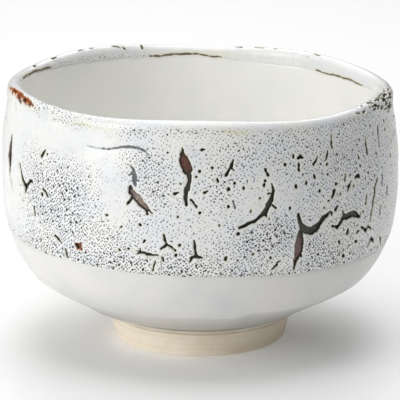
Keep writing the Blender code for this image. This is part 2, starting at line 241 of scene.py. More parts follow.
# Short gashes and blobs: (angle, height, width, length), the length running up the wall.
NICKS = [
    (-50, 54.0, .7, .7), (-48.3, 66.5, .5, .5), (-15.3, 45.3, .4, 1.2), (4.8, 63.6, .55, 1.0),
    (7.9, 61.1, .8, .9), (9.6, 62.8, .5, .6), (13.1, 63.3, .5, 1.2), (12, 61.2, .6, 1.1),
    (7.9, 55.9, .5, .6), (3.4, 67.2, .45, .5), (0, 66, .5, .5), (-1, 64.5, .4, .5), (-5.2, 62.4, .4, .4),
    (-8.9, 71.2, .45, .5), (5.3, 50.4, .4, .4), (-5.6, 44.5, .5, .5), (10.5, 47.7, .7, .8),
    (7.2, 40.3, .6, 1.3), (-6.6, 41.3, .5, .5), (-20, 42.6, .5, .6), (-16.5, 50, .4, .7), (0, 54, .45, .5),
    (-6, 52.7, .4, .4), (18.2, 63.3, .5, .5), (17.8, 62.1, .7, .8), (16.5, 58.3, .6, .8),
    (14, 54.6, .5, 1.1), (19.2, 52, .5, .7), (27, 70.1, .45, 1.1), (24.2, 67.8, .5, .5),
    (27.3, 61.2, .85, 1.2), (25.4, 54.8, .5, 1.1), (30.5, 62, .35, 1.2), (33.4, 63.4, .4, 1.2),
    (35, 59.2, .5, .7), (20, 39.9, .5, .6), (14.9, 41.3, .5, .6), (50.3, 43, .6, .7), (51.3, 63.5, .45, .9),
    (52, 71, .4, .5), (38, 66.6, .5, .8), (41.4, 60.1, .5, .6), (35, 58.7, .4, .6), (39.3, 51.4, .5, .6),
    (51.4, 48.7, .5, .6), (42.8, 41.3, .4, 1.0), (49.8, 40.1, .5, .6), (45, 36.7, .5, .5), (68, 73, .5, .7),
    (68, 70.6, .4, .9), (58.4, 73.8, .5, .5), (55, 60.4, .4, .5), (58.4, 58.6, .4, .8), (38, 63.4, .4, .5),
    (-22.8, 42, .5, .8), (-26.3, 52, .5, .5), (-22, 49, .45, .5), (60, 65, .4, .8), (70, 62, .35, 1.6),
    (72, 66, .3, 1.4), (41, 60.1, .6, .6), (48, 58, .5, .5), (42.5, 57.2, .35, .9), (38, 55.4, .4, .4),
    (39.3, 50.9, .35, .7), (52.5, 48.9, .6, .6), (46, 43.9, .5, .8), (51, 43.2, .5, .7),
    (50.5, 39.9, .5, .7), (42.5, 41.8, .45, .9), (45.5, 36.5, .6, .6), (62.5, 48.1, .35, 1.0),
    (67, 52.8, .35, 1.1), (66, 47, .3, .8), (36.5, 53.5, .3, .5),
]
# Shallow healed cracks, where the glaze only thinned to a grey valley: (angle, height, width).
SCARS = [
    [(-33.5, 71.6, .1), (-30, 71.3, .15), (-26.4, 71.4, .25), (-22, 72.3, .5), (-20.3, 72.5, .6),
     (-17.6, 72.3, .5), (-15.7, 71.7, .35), (-14.2, 70.3, .1)],
    [(-19.8, 67.5, .15), (-18.5, 66.1, .4), (-18.0, 64.0, 1.1), (-18.2, 62.8, .9), (-17.8, 61.6, .5)],
    [(-18.2, 63.4, .5), (-16.4, 62.8, .2)], [(-18.4, 65.2, .3), (-19.8, 64.4, .1)],
    [(63.3, 57.8, .4), (63, 54.2, .3)], [(62.4, 47.6, .3), (62.6, 45.6, .4)],
    [(67, 53, .5), (67.2, 50.5, .4)], [(9, 57.5, .3), (9.6, 55.5, .3)],
]
# Chips and thin places along the lip, at an angle and a distance from the crest: (angle, distance, width).
LIP_WEAR = [
    [(-82, -2.6, .4), (-78, -2.3, .8)], [(-76.6, -2.0, .7), (-73.4, -1.9, 1.1), (-71.5, -1.8, .8)],
    [(-70.2, -1.7, 1.0), (-67.6, -1.8, 1.5), (-65.6, -2.0, 1.0)],
    [(-64.8, -1.9, .8), (-62.6, -2.2, 1.4), (-60.6, -2.3, 1.1)],
    [(-59.8, -2.4, 1.0), (-58.2, -2.7, .8), (-57.2, -3.0, .4)],
    [(-70.4, -2.6, .6), (-67.8, -3.2, .7), (-66.0, -3.7, 1.1), (-65.0, -4.1, .6)],
    [(-63.8, -2.8, .5), (-62.4, -3.5, .9), (-61.2, -3.9, .5)], [(-60.2, -3.2, .4), (-58.8, -3.6, .5)],
    [(-74.5, -3.0, .4), (-73, -3.8, .4)], [(-69.5, -5.3, .3), (-69.2, -6.3, .5), (-69, -7.1, .2)],
    [(-80, -2.6, .3), (-78, -3.4, .5), (-77.4, -4.4, .3)], [(-113.4, .3, .6), (-111.6, .5, .8)],
    [(-125.8, .3, .6), (-123.4, .5, .9)], [(-138, .3, .5), (-136.2, .4, .6)],
    [(-142.4, .4, .5), (-141, .5, .6)], [(-149.4, .6, .35), (-150.8, .9, .5), (-152.2, 1.6, .4)],
    [(-153.2, 1.6, .35), (-153.7, 2.2, .45)], [(-159.6, -.2, .45), (-160.2, .8, .6), (-160, 2.0, .45)],
    [(168.2, .3, .7), (166, .4, .9)], [(161.4, .3, .6), (159.9, .4, .8), (158.4, .3, .7)],
    [(155, .4, .5), (153.8, .5, .55)], [(139, .3, .8), (137.2, .5, 1.0)],
    [(141.2, 2.6, .22), (140.6, 2.8, .22)], [(77.2, -.2, .5), (79.8, -.3, .6)],
    [(73, -.3, .5), (75.2, -.2, .5)], [(64.6, -1.1, .5), (66.6, -1.0, .5)], [(63, -.1, .5), (65, 0, .45)],
    [(60.2, -.6, .5), (61.8, -.5, .45)], [(56.4, -.5, .45), (57.6, -.4, .45)],
    [(57, 1.2, .5), (58.2, 1.3, .45)], [(54.8, 2.1, .45), (55.8, 2.2, .45)],
    [(70.2, -4.1, .6), (72.8, -4.2, .7)], [(72, -5.4, .6), (75, -5.3, .7)],
    [(74.6, -4.6, .6), (77.4, -4.7, .7)], [(68.8, -2.6, .5), (71.4, -2.5, .6)],
    [(68, -.9, .5), (70.2, -.8, .5)], [(77.6, -2.4, .6), (80.6, -2.6, .7)],
    [(76.4, -3.5, .5), (79, -3.4, .6)], [(81, -1.2, .5), (84, -1.3, .6)],
    [(61.4, 2.6, .4), (62.6, 2.5, .45)], [(50.4, 2.9, .4), (51.4, 2.8, .4)],
    [(80, -4.6, .5), (83, -4.4, .6)], [(72.6, -6.6, .5), (74.6, -6.7, .5)], [(67.4, 1.0, .4), (69, .9, .4)],
]
# How far the crawled coat reaches inside the lip: (angle, distance from the crest).
INSIDE_REACH = [
    (-180, 4.0), (-173, 4.5), (-166, 5.1), (-152, 5.4), (-135, 5.1), (-121, 3.9), (-107, 2.9), (-90, 2.6),
    (-60, 4.0), (0, 5.2), (60, 5.4), (100, 5.4), (122, 6.7), (145, 7.1), (160, 6.4), (172, 5.3), (180, 4.0),
]
BAND_AROUND = RADIUS         # the band is unrolled at this radius
HALF_ROUND = math.pi * BAND_AROUND
SEED = 617
# Small natural waves of the coat's two edges: (height in mm, waves round the bowl, phase).
DIP_LINE_RIPPLES = [(.12, 9, 1), (.08, 23, 0), (.05, 41, 2)]
INSIDE_EDGE_RIPPLES = [(.14, 17, 0), (.10, 41, 1), (.05, 97, 0)]
INSIDE_EDGE_BLUR = (-6, -3, 0, 3, 6)      # degrees
# Cracks open wider than drawn, most on the flanks, and the finest a little more than the wide ones.
CRACK_SWELL, CRACK_SWELL_FALL, EASED_WIDTH = 1.26, 0.14, 1.2
FLANK_SWELL = 0.9
NICK_SWELL = 1.08


def rippled(line, theta, ripples):
    """A line with small waves on it."""
    for tall, waves, phase in ripples:
        line = line + tall * np.sin(waves * theta + phase)
    return line


def bottom_edge(u):
    """Section length of the crawled coat's lower edge, the dip line."""
    theta = u / BAND_AROUND
    level = length_at(DIP_LINE_HEIGHT - DIP_LINE_TILT * np.sin(theta))
    return rippled(level, theta, DIP_LINE_RIPPLES)


def top_edge(u):
    """Section length of the crawled coat's edge inside the lip."""
    theta = np.asarray(u) / BAND_AROUND
    angles, reach = zip(*INSIDE_REACH)
    reaches = [np.interp(np.degrees(theta) + shift, angles, reach, period=360) for shift in INSIDE_EDGE_BLUR]
    return rippled(CREST + sum(reaches) / len(reaches), theta, INSIDE_EDGE_RIPPLES)


def opened(angle, width):
    """Width that a crack opened to in the fire."""
    swell = CRACK_SWELL - CRACK_SWELL_FALL * min(width, EASED_WIDTH)
    return width * swell * (1 + FLANK_SWELL * (1 - math.cos(math.radians(angle))))


def around_at(angle):
    """Distance round the unrolled wall from the front to an angle in degrees."""
    return math.radians(angle) * BAND_AROUND


def unrolled(run):
    """A crack's points on the unrolled wall, (around, along, width)."""
    return [(around_at(angle), float(length_at(height)), opened(angle, width))
            for angle, height, width in run]


def gash(angle, height, width, tall):
    """A short crack that leans a little."""
    lean = 0.25 * tall * math.sin(angle * 7.3)
    width = NICK_SWELL * opened(angle, width)
    u, s = around_at(angle), float(length_at(height))
    return [(u - lean / 2, s - tall / 2 + width / 3, width * .8), (u, s, width),
            (u + lean / 2, s + tall / 2 - width / 3, width * .7)]


def crawled_runs():
    """All open cracks: those of the front, the lip's wear, and more of the same kind behind."""
    runs = [unrolled(run) for run in CRACKS]
    runs += [gash(*nick) for nick in NICKS]
    for run in LIP_WEAR:
        runs.append([(around_at(angle), CREST + along, width) for angle, along, width in run])
    runs += lip_corner_marks()
    rng = np.random.default_rng(SEED)
    runs += back_cracks(rng)
    runs += back_nicks(rng)
    wrapped = []
    for run in runs:
        shift = 2 * HALF_ROUND if run[0][0] > HALF_ROUND else 0.0
        wrapped.append([(u - shift, s, width) for u, s, width in run])
    return wrapped


# The back's own cracks and nicks: between these angles and heights, and clear of the coat's seam.
BACK_CRACKS, CRACK_ANGLES, CRACK_HEIGHTS, CRACK_GAP, CRACK_SEAM_GAP = 34, (80, 278), (38, 73), 9, 5
BACK_NICKS, NICK_ANGLES, NICK_HEIGHTS, NICK_SEAM_GAP = 150, (76, 284), (36, 75), 2.5


def back_cracks(rng):
    """Wandering cracks of the sides and the back, every fourth one long or wide."""
    low, high = (length_at(height) for height in CRACK_HEIGHTS)
    spots = []
    while len(spots) < BACK_CRACKS:
        u = around_at(rng.uniform(*CRACK_ANGLES))
        s = rng.uniform(low, high)
        near = any(math.hypot(u - a, s - b) < CRACK_GAP for a, b in spots)
        if abs(u - HALF_ROUND) >= CRACK_SEAM_GAP and not near:
            spots.append((u, s))
    runs = []
    for index, (u, s) in enumerate(spots):
        heading = rng.uniform(-0.5, 0.5) + (math.pi / 2 if index % 3 else 0.2)
        reach = rng.uniform(3, 9) if index % 4 else rng.uniform(9, 15)
        girth = rng.uniform(.4, .9) if index % 4 else rng.uniform(1.2, 2.2)
        runs += wandering_crack(rng, u, s, heading, reach, girth)
    return runs


def back_nicks(rng):
    """Short gashes between them."""
    low, high = (length_at(height) for height in NICK_HEIGHTS)
    runs = []
    for _ in range(BACK_NICKS):
        u = around_at(rng.uniform(*NICK_ANGLES))
        s = rng.uniform(low, high)
        if abs(u - HALF_ROUND) < NICK_SEAM_GAP:
            continue
        tall, width = rng.uniform(.3, 1.3), rng.uniform(.35, .65)
        runs.append([(u, s - tall / 2, width * .8), (u + rng.uniform(-.2, .2), s + tall / 2, width)])
    return runs


# The tears at the lip's right end: how many, at what angle and drop under the crest, and their spread.
CORNER_TEARS = 54
CORNER_ANGLE, CORNER_ANGLE_SPREAD = 72, 8.5
CORNER_DROP = 2.2
CORNER_FAN_START, CORNER_FAN = 50, 25     # they fan out in height from this angle, over these degrees
LONGEST_AT = 70                           # they are longer round the side, up to this angle


def lip_corner_marks():
    """Short fine tears that crowd where the lip turns away on the right."""
    rng = np.random.default_rng(SEED + 2)
    marks = []
    for _ in range(CORNER_TEARS):
        angle = CORNER_ANGLE + CORNER_ANGLE_SPREAD * rng.standard_normal()
        fanned = np.clip((angle - CORNER_FAN_START) / CORNER_FAN, .2, 1)
        along = CREST - CORNER_DROP + CORNER_DROP * rng.standard_normal() * fanned
        reach = rng.uniform(.5, 1.1) / math.cos(math.radians(min(angle, LONGEST_AT)))
        u = around_at(angle)
        rise = rng.uniform(-.4, .3)
        marks.append([(u, along, .24), (u + reach / 2, along + rise / 2, .38),
                      (u + reach, along + rise, .22)])
    return marks


CRACK_STRIDE = 1.6
FORK_CHANCE = 0.3


def wandering_crack(rng, u, s, heading, reach, girth):
    """A crack that wanders and thins, with a fork or two."""
    steps = max(3, int(reach / CRACK_STRIDE))
    points = [(u, s, girth * .3)]
    forks = []
    for k in range(1, steps + 1):
        heading += rng.uniform(-.45, .45)
        u += CRACK_STRIDE * math.cos(heading)
        s += CRACK_STRIDE * math.sin(heading)
        swell = math.sin(math.pi * min(k / steps, 1) ** .8) * .8 + .2
        points.append((u, s, max(girth * swell * rng.uniform(.8, 1.15), .22)))
        if rng.random() < FORK_CHANCE and k < steps:
            side = heading + rng.choice([-1, 1]) * rng.uniform(.8, 1.4)
            long = rng.uniform(1, 2.4)
            forks.append([(u, s, girth * .35 + .1),
                          (u + long * math.cos(side), s + long * math.sin(side), .25)])
    return [points] + forks


# ---------------------------------------------------------------- distance to the cracks, on a fine grid
STEP = 0.125
FAR = 3.0
GRID_LOW = float(length_at(30.0))
GRID_U = np.arange(-HALF_ROUND - 1, HALF_ROUND + 1, STEP)
GRID_S = np.arange(GRID_LOW, CREST + DEEPEST_REACH + 2, STEP)
# Raggedness of the cracks' edges: (seed, size in mm, height in mm), its mean, and how far it reaches.
RAGGED = [(3, .36, .18), (4, .90, .24)]
RAGGED_MEAN, RAGGED_REACH = 0.02, 1.2
SHORTEST_OUTLINE, FEWEST_POINTS = 0.7, 6


def soft_noise(seed, cell):
    """A smooth random field on the grid, its features about cell mm across."""
    rng = np.random.default_rng(seed)
    rows = int((GRID_S[-1] - GRID_S[0]) / cell) + 3
    columns = int((GRID_U[-1] - GRID_U[0]) / cell) + 3
    coarse = rng.uniform(-1, 1, (rows, columns))
    at_u = (GRID_U - GRID_U[0]) / cell
    at_s = (GRID_S - GRID_S[0]) / cell
    across = np.stack([np.interp(at_u, np.arange(columns), row) for row in coarse])
    return np.stack([np.interp(at_s, np.arange(rows), column) for column in across.T], 1)


def distance_field(runs, ragged):
    """Distance to the nearest crack's edge on the grid, negative inside it."""
    field = np.full((len(GRID_S), len(GRID_U)), FAR)
    for run in runs:
        for (ua, sa, wa), (ub, sb, wb) in zip(run, run[1:]):
            pad = max(wa, wb) / 2 + FAR
            c0, c1 = np.searchsorted(GRID_U, [min(ua, ub) - pad, max(ua, ub) + pad])
            r0, r1 = np.searchsorted(GRID_S, [min(sa, sb) - pad, max(sa, sb) + pad])
            uu, ss = GRID_U[None, c0:c1], GRID_S[r0:r1, None]
            du, ds = ub - ua, sb - sa
            t = np.clip(((uu - ua) * du + (ss - sa) * ds) / max(du * du + ds * ds, 1e-9), 0, 1)
            gap = np.hypot(uu - ua - t * du, ss - sa - t * ds) - (wa + t * (wb - wa)) / 2
            field[r0:r1, c0:c1] = np.minimum(field[r0:r1, c0:c1], gap)
    near = np.clip(1 - field / RAGGED_REACH, 0, 1)
    bites = sum(tall * soft_noise(seed, cell) for seed, cell, tall in RAGGED) + RAGGED_MEAN
    return field + near * ragged * bites


def look_up(field, u, s):
    """The field's value at points, read between the grid's own."""
    x = np.clip((np.asarray(u) - GRID_U[0]) / STEP, 0, len(GRID_U) - 1.001)
    y = np.clip((np.asarray(s) - GRID_S[0]) / STEP, 0, len(GRID_S) - 1.001)
    i, j = y.astype(int), x.astype(int)
    fy, fx = y - i, x - j
    top = field[i, j] * (1 - fx) + field[i, j + 1] * fx
    return top * (1 - fy) + (field[i + 1, j] * (1 - fx) + field[i + 1, j + 1] * fx) * fy


def contours(field, level, spacing):
    """Closed outlines where the field passes level, as lists of (around, along) points."""
    inside = field < level
    code = inside[:-1, :-1] * 1 + inside[:-1, 1:] * 2 + inside[1:, 1:] * 4 + inside[1:, :-1] * 8
    rows, columns = np.nonzero((code > 0) & (code < 15))
    sides = {1: [(3, 0)], 2: [(0, 1)], 3: [(3, 1)], 4: [(1, 2)], 5: [(3, 0), (1, 2)], 6: [(0, 2)],
             7: [(3, 2)], 8: [(2, 3)], 9: [(2, 0)], 10: [(0, 1), (2, 3)], 11: [(2, 1)], 12: [(1, 3)],
             13: [(1, 0)], 14: [(0, 3)]}
    follow = {}

    def edge(i, j, side):
        return ((i, j, 0), (i, j + 1, 1), (i + 1, j, 0), (i, j, 1))[side]

    for i, j in zip(rows.tolist(), columns.tolist()):
        for a, b in sides[int(code[i, j])]:
            follow[edge(i, j, a)] = edge(i, j, b)

    def crossing(key):
        i, j, upright = key
        k, m = (i + 1, j) if upright else (i, j + 1)
        a, b = field[i, j], field[k, m]
        t = (level - a) / (b - a)
        return (GRID_U[j] + (0 if upright else t * STEP), GRID_S[i] + (t * STEP if upright else 0))

    loops = []
    while follow:
        first, nxt = follow.popitem()
        chain = [first]
        while nxt != first and nxt in follow:
            chain.append(nxt)
            nxt = follow.pop(nxt)
        points = np.array([crossing(key) for key in chain])
        closed = np.vstack([points, points[:1]])
        run = np.concatenate([[0], np.cumsum(np.hypot(*np.diff(closed, axis=0).T))])
        if nxt != first or run[-1] < SHORTEST_OUTLINE:
            continue
        count = max(int(run[-1] / spacing), FEWEST_POINTS)
        at = np.arange(count) * run[-1] / count
        loops.append(np.stack([np.interp(at, run, closed[:, 0]), np.interp(at, run, closed[:, 1])], 1))
    return loops


# The coat's edge rolls over: (distance from it, depth), both in mm.
EDGE_ROLL = [(0.0, .45), (0.12, .22), (0.3, .07), (0.6, .0)]
LATTICE_LOW, LATTICE_HIGH = 0.95, 0.9      # the lattice stays this far inside the coat's edges
LATTICE_ROW = 0.87


def sheet_on_wall(outlines, bottom, top, spacing, lip_spacing, clear, crack_field):
    """Triangles of an unrolled coat: outlines are kept as edges, and a lattice fills the rest."""
    points, edges = [], []

    def add_loop(loop, closed=True):
        start = len(points)
        points.extend(map(tuple, loop))
        count = len(loop)
        edges.extend((start + k, start + (k + 1) % count) for k in range(count if closed else count - 1))

    columns = int(round(2 * HALF_ROUND / spacing))
    around = np.linspace(-HALF_ROUND, HALF_ROUND, columns + 1)
    fine = np.linspace(-HALF_ROUND, HALF_ROUND, 2 * columns + 1)
    for inset, _ in EDGE_ROLL:
        for line, sign in ((bottom, 1), (top, -1)):
            row = np.stack([fine, line(fine) + sign * inset], 1)
            keep = look_up(crack_field, row[:, 0], row[:, 1]) > clear
            keep[[0, -1]] = True
            if inset == 0:
                add_loop(row, closed=False)
            else:
                points.extend(map(tuple, row[keep]))
    lip_from = CREST - LIP_THICKNESS
    rows = np.concatenate([np.arange(GRID_LOW, lip_from, spacing * LATTICE_ROW),
                           np.arange(lip_from, CREST + INSIDE_OVERLAP + 2, lip_spacing)])
    for k, s in enumerate(rows):
        row_u = around
        if k % 2:
            row_u = np.concatenate([[around[0]], around[:-1] + spacing / 2, [around[-1]]])
        row_s = np.full(len(row_u), s)
        inside = (row_s > bottom(row_u) + LATTICE_LOW) & (row_s < top(row_u) - LATTICE_HIGH)
        inside &= look_up(crack_field, row_u, row_s) > clear
        points.extend(zip(row_u[inside], row_s[inside]))
    for loop in outlines:
        add_loop(loop)
    verts, _, faces, _, _, _ = delaunay_2d_cdt([Vector(p) for p in points], edges, [], 0, 1e-5)
    flat = np.array([tuple(v) for v in verts])
    tris = np.array([f for f in faces if len(f) == 3])
    middle = flat[tris].mean(1)
    inside = (middle[:, 1] > bottom(middle[:, 0])) & (middle[:, 1] < top(middle[:, 0]))
    return flat, tris[inside]


# ---------------------------------------------------------------- meshes
def weld_seam(flat):
    """Joins the sheet's right edge to its left edge, so that the coat closes behind the bowl."""
    left = {round(s, 3): i for i, (u, s) in enumerate(flat) if u < -HALF_ROUND + 1e-4}
    target = np.arange(len(flat))
    for i, (u, s) in enumerate(flat):
        if u > HALF_ROUND - 1e-4 and round(s, 3) in left:
            target[i] = left[round(s, 3)]
    return target


def make_piece(name, points, faces, material):
    mesh = bpy.data.meshes.new(name)
    mesh.from_pydata([tuple(p) for p in points], [], [tuple(int(i) for i in f) for f in faces])
    mesh.update()
    mesh.shade_smooth()
    mesh.materials.append(material)
    piece = bpy.data.objects.new(name, mesh)
    bpy.context.scene.collection.objects.link(piece)
    return piece


def set_field(piece, name, values):
    attribute = piece.data.attributes.new(name, "FLOAT", "POINT")
    attribute.data.foreach_set("value", np.asarray(values, np.float32))


def set_corner_map(piece, name, corners):
    layer = piece.data.uv_layers.new(name=name)
    layer.data.foreach_set("uv", np.asarray(corners, np.float32).ravel())


UNROLLED_UNIT = 100.0      # mm of wall to one unit of the "Unrolled" map
BAKE_ROWS = 3              # the band is cut in three and its stretches are stacked on the bake map
BAKE_MARGIN = 1.6


def coat_from_sheet(name, flat, tris, depth, material, fields):
    """Wraps an unrolled sheet round the bowl, with its fields and its two maps."""
    target = weld_seam(flat)
    used = np.unique(target[tris])
    renumber = np.full(len(flat), -1)
    renumber[used] = np.arange(len(used))
    faces = renumber[target[tris]]
    a, b, c = faces.T
    good = (a != b) & (b != c) & (a != c)
    faces, tris = faces[good], tris[good]
    u, s = flat[used, 0], flat[used, 1]
    points = place(u / BAND_AROUND, s, depth[used])
    piece = make_piece(name, points, faces, material)
    for field, values in fields.items():
        set_field(piece, field, values[used])
    corner = flat[tris]
    set_corner_map(piece, "Unrolled", corner.reshape(-1, 2) / UNROLLED_UNIT)
    stretch = 2 * HALF_ROUND / BAKE_ROWS
    row = np.clip(((corner[:, :, 0].mean(1) + HALF_ROUND) / stretch).astype(int), 0, BAKE_ROWS - 1)
    tall = CREST + INSIDE_OVERLAP + 2 - GRID_LOW
    bake_u = corner[:, :, 0] + HALF_ROUND - row[:, None] * stretch + BAKE_MARGIN
    bake_u /= stretch + 2 * BAKE_MARGIN
    bake_v = (corner[:, :, 1] - GRID_LOW + row[:, None] * tall) / (BAKE_ROWS * tall)
    set_corner_map(piece, "OFBake", np.stack([bake_u, bake_v], -1).reshape(-1, 2))
    return piece


ON_AXIS = 1e-7


def angles_round(columns):
    """Angles in radians of the columns of a turned piece, from the back round to the back."""
    return np.radians(np.arange(columns) * 360 / columns - 180)


def turned(name, lengths, depth, columns, material, fields=None):
    """A coat turned as one skin: rows at section lengths, depth(theta, s) under the surface."""
    theta = angles_round(columns)
    grid_t, grid_s = np.meshgrid(theta, lengths)
    piece = turned_grid(name, place(grid_t, grid_s, depth(grid_t, grid_s)), material)
    for field, values in (fields or {}).items():
        set_field(piece, field, values(grid_t, grid_s).ravel())
    return piece


def turned_grid(name, rings, material, closed_rows=False):
    """Faces for rings of points, one over another; a ring on the axis closes to one point."""
    rings = np.asarray(rings)
    rows, columns = rings.shape[:2]
    target = np.arange(rows * columns)
    for row in range(rows):
        if np.abs(rings[row, :, :2]).max() < ON_AXIS:
            target[row * columns:(row + 1) * columns] = row * columns
    faces, corners = [], []
    for row in range(rows if closed_rows else rows - 1):
        after = (row + 1) % rows
        for k in range(columns):
            around = [(row, k), (row, k + 1), (after, k + 1), (after, k)]
            face = []
            for r, c in around:
                index = int(target[r * columns + c % columns])
                if index not in [i for i, _ in face]:
                    face.append((index, (c / columns, (row if r == row else row + 1) / rows)))
            faces.append([i for i, _ in face])
            corners.append([uv for _, uv in face])
    used = np.unique(target)
    renumber = np.full(rows * columns, -1)
    renumber[used] = np.arange(len(used))
    faces = [[int(renumber[i]) for i in face] for face in faces]
    piece = make_piece(name, rings.reshape(-1, 3)[used], faces, material)
    set_corner_map(piece, "OFBake", [uv for face in corners for uv in face])
    return piece


# ---------------------------------------------------------------- shader maths
class Number:
    """A value in a material; arithmetic on it adds Math nodes."""

    def __init__(self, finish, socket):
        self.finish = finish
        self.socket = socket

    def _math(self, operation, *values, clamp=False):
        settings = {"operation": operation, "use_clamp": clamp}
        return self.finish.number("ShaderNodeMath", settings, dict(enumerate(values)))

    def __add__(self, other):
        return self._math("ADD", self, other)

    __radd__ = __add__

    def __sub__(self, other):
        return self._math("SUBTRACT", self, other)

    def __rsub__(self, other):
        return self._math("SUBTRACT", other, self)

    def __mul__(self, other):
        return self._math("MULTIPLY", self, other)

    __rmul__ = __mul__

    def __lt__(self, other):
        return self._math("LESS_THAN", self, other)

    def most(self, other):
        return self._math("MAXIMUM", self, other)

    def clamped(self):
        return self._math("ADD", self, 0.0, clamp=True)

    def rise(self, start, end):
        """0 before start and 1 after end, smooth between; start may be above end."""
        low, high, first, last = (start, end, 0.0, 1.0) if start < end else (end, start, 1.0, 0.0)
        return self.finish.number("ShaderNodeMapRange", {"interpolation_type": "SMOOTHSTEP"},
                                  {0: self, 1: low, 2: high, 3: first, 4: last})


class Finish:
    """One fired finish: a material, its nodes and its Principled shader."""

    def __init__(self, name, roughness, color, **sockets):
        self.material = bpy.data.materials.new(name)
        self.material.use_nodes = True
        self.tree = self.material.node_tree
        self.shader = self.tree.nodes["Principled BSDF"]
        self.shader.inputs["Roughness"].default_value = roughness
        self.shader.inputs["Base Color"].default_value = (*color, 1)
        self.material.diffuse_color = (*color, 1)
        for socket, value in sockets.items():
            self.shader.inputs[socket.replace("_", " ")].default_value = value

    def node(self, kind, settings=None, inputs=None):
        node = self.tree.nodes.new(kind)
        for key, value in (settings or {}).items():
            if key == "stops":
                ramp = node.color_ramp
                while len(ramp.elements) < len(value):
                    ramp.elements.new(1.0)
                for element, (position, color) in zip(ramp.elements, value):
                    element.position = position
                    element.color = (*color, 1)
            else:
                setattr(node, key, value)
        for key, value in (inputs or {}).items():
            self.feed(node.inputs[key], value)
        return node

    def feed(self, socket, value):
        if isinstance(value, Number):
            self.tree.links.new(value.socket, socket)
        elif isinstance(value, bpy.types.NodeSocket):
            self.tree.links.new(value, socket)
        elif isinstance(value, tuple) and len(value) == 3 and socket.type == "RGBA":
            socket.default_value = (*value, 1)
        else:
            socket.default_value = value

    def number(self, kind, settings=None, inputs=None, output=0):
        return Number(self, self.node(kind, settings, inputs).outputs[output])

    def field(self, name):
        return self.number("ShaderNodeAttribute", {"attribute_name": name}, output="Fac")

    def map(self, name):
        return self.node("ShaderNodeUVMap", {"uv_map": name}).outputs[0]

    def scaled(self, vector, scale):
        return self.node("ShaderNodeVectorMath", {"operation": "MULTIPLY"}, {0: vector, 1: scale}).outputs[0]

    def place(self):
        return self.node("ShaderNodeTexCoord").outputs["Object"]

    def noise(self, vector, scale, detail):
        return self.number("ShaderNodeTexNoise", None, {"Vector": vector, "Scale": scale, "Detail": detail})

    def mixed(self, amount, below, above):
        """Colour that turns from below to above as amount goes from 0 to 1."""
        return self.node("ShaderNodeMix", {"data_type": "RGBA"}, {0: amount, 6: below, 7: above}).outputs[2]

    def color(self, socket):
        self.feed(self.shader.inputs["Base Color"], socket)

    def roughness(self, value):
        self.feed(self.shader.inputs["Roughness"], value)

    def relief(self, height, distance):
        """Fine relief: height 0 to 1 stands distance metres proud."""
        bump = self.node("ShaderNodeBump", None, {"Height": height, "Distance": distance, "Strength": 1.0})
        self.feed(self.shader.inputs["Normal"], bump.outputs[0])


def paint(red, green, blue):
    """A colour given as a paint maker's 0 to 255 values, turned to linear light."""
    shares = [value / 255 for value in (red, green, blue)]
    return tuple(c / 12.92 if c <= 0.04045 else ((c + 0.055) / 1.055) ** 2.4 for c in shares)


OLIVE_BLACK = paint(38, 34, 26)
STRAW = paint(228, 224, 192)
IRON_BROWN = paint(98, 50, 38)
IRON_DARK = paint(34, 30, 22)
OLIVE_GREY = paint(56, 54, 45)
RUST_ORANGE = paint(206, 118, 58)
COOL_WHITE = paint(238, 240, 242)
WARM_WHITE = paint(244, 243, 240)
SCAR_GREY = paint(88, 94, 97)
# Grey painted on the belly as shade, low down towards the foot and round its right side.
PAINTED_SHADE_GREY = paint(186, 186, 183)


DOT_RANDOMNESS = 0.61
DOT_SMALLEST = 0.15          # share of a pinhole's radius that is left where the crowd is thinnest


def dots(finish, vector, turn, spacing, radius, spread, density, presence, softness):
    """Pinholes on a jittered lattice, turned by some degrees, and larger where density is high.

    Presence is the share of cells that have one, and the other lengths are in mm.
    """
    turned_wall = finish.node("ShaderNodeMapping", None, {0: vector, "Rotation": (0, 0, math.radians(turn))})
    cell = finish.node("ShaderNodeTexVoronoi", {"voronoi_dimensions": "2D", "feature": "F1"},
                       {0: turned_wall.outputs[0], "Scale": 1 / spacing, "Randomness": DOT_RANDOMNESS})
    distance = Number(finish, cell.outputs["Distance"]) * spacing
    split = finish.node("ShaderNodeSeparateColor", None, {0: cell.outputs["Color"]})
    pick, size, shade = (Number(finish, split.outputs[k]) for k in range(3))
    reach = radius * (DOT_SMALLEST + (1 - DOT_SMALLEST) * density) + spread * (size - .5)
    mask = finish.number("ShaderNodeMapRange", {"interpolation_type": "SMOOTHSTEP"},
                         {0: distance - reach, 1: -softness, 2: softness, 3: 1.0, 4: 0.0})
    return mask * (pick < presence), shade


